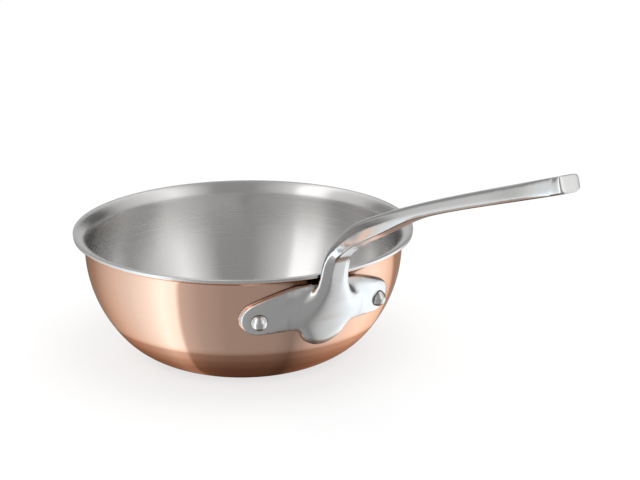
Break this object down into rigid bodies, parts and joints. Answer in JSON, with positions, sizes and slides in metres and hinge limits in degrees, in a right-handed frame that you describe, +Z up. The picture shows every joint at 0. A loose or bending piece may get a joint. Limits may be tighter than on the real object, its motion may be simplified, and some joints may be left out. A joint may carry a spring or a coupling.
{
  "type": "saucier pan",
  "caption": "Saucier pan with a rounded copper bowl, a bright steel lining, a rolled pouring lip and a long upswept steel handle riveted to the side.",
  "frame": {"origin": "centre of the bowl's flat base, on the surface that the pan stands on", "axes": "+Z up along the bowl's axis, +X from that axis along the handle, +Y square to both"},
  "size_m": [0.426, 0.2182, 0.1879],
  "materials": {
    "copper": "mirror polished copper",
    "core": "bare, seen only at the lip's cut edge",
    "lining": "brushed round the bowl",
    "handle": "satin polished casting",
    "rivets": "polished"
  },
  "bodies": {
    "root": {"copper_skin": "copper", "aluminium_core": "core", "steel_lining": "lining", "handle": "handle", "rivet_left": "rivets", "rivet_right": "rivets"}
  },
  "joints": []
}
